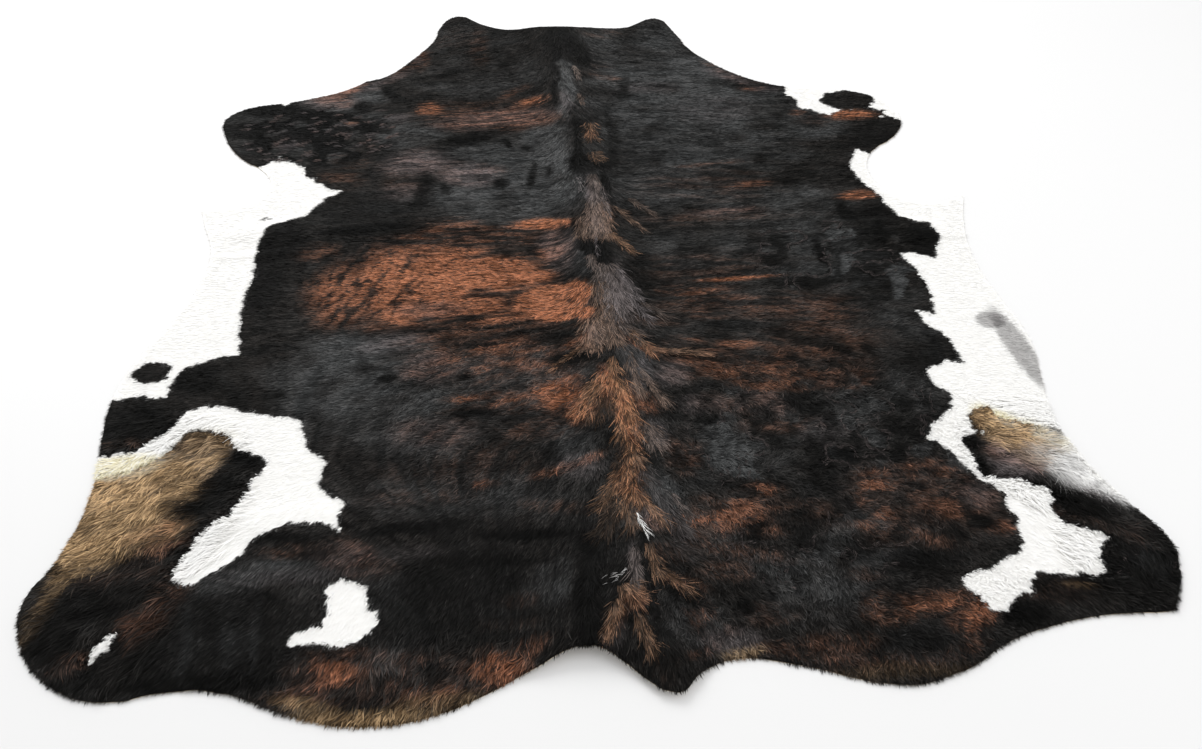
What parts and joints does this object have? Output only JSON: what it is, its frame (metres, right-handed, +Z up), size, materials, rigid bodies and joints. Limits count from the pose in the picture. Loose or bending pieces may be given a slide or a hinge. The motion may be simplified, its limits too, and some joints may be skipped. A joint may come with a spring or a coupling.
{
  "type": "cowhide rug",
  "caption": "Whole natural cowhide rug lying flat, hair side up, with neck, legs and belly in its uneven outline and soft spine and packing folds.",
  "frame": {"origin": "on the floor under the middle of the hide's box", "axes": "+Z up, +Y along the spine towards the neck, +X towards the hide's right side seen from the tail"},
  "size_m": [2.0842, 2.328, 0.031],
  "materials": {
    "hair_on_hide": "short glossy hair, dark brindle with white belly patches, on pale suede leather"
  },
  "bodies": {
    "root": {"hide": "hair_on_hide"}
  },
  "joints": []
}
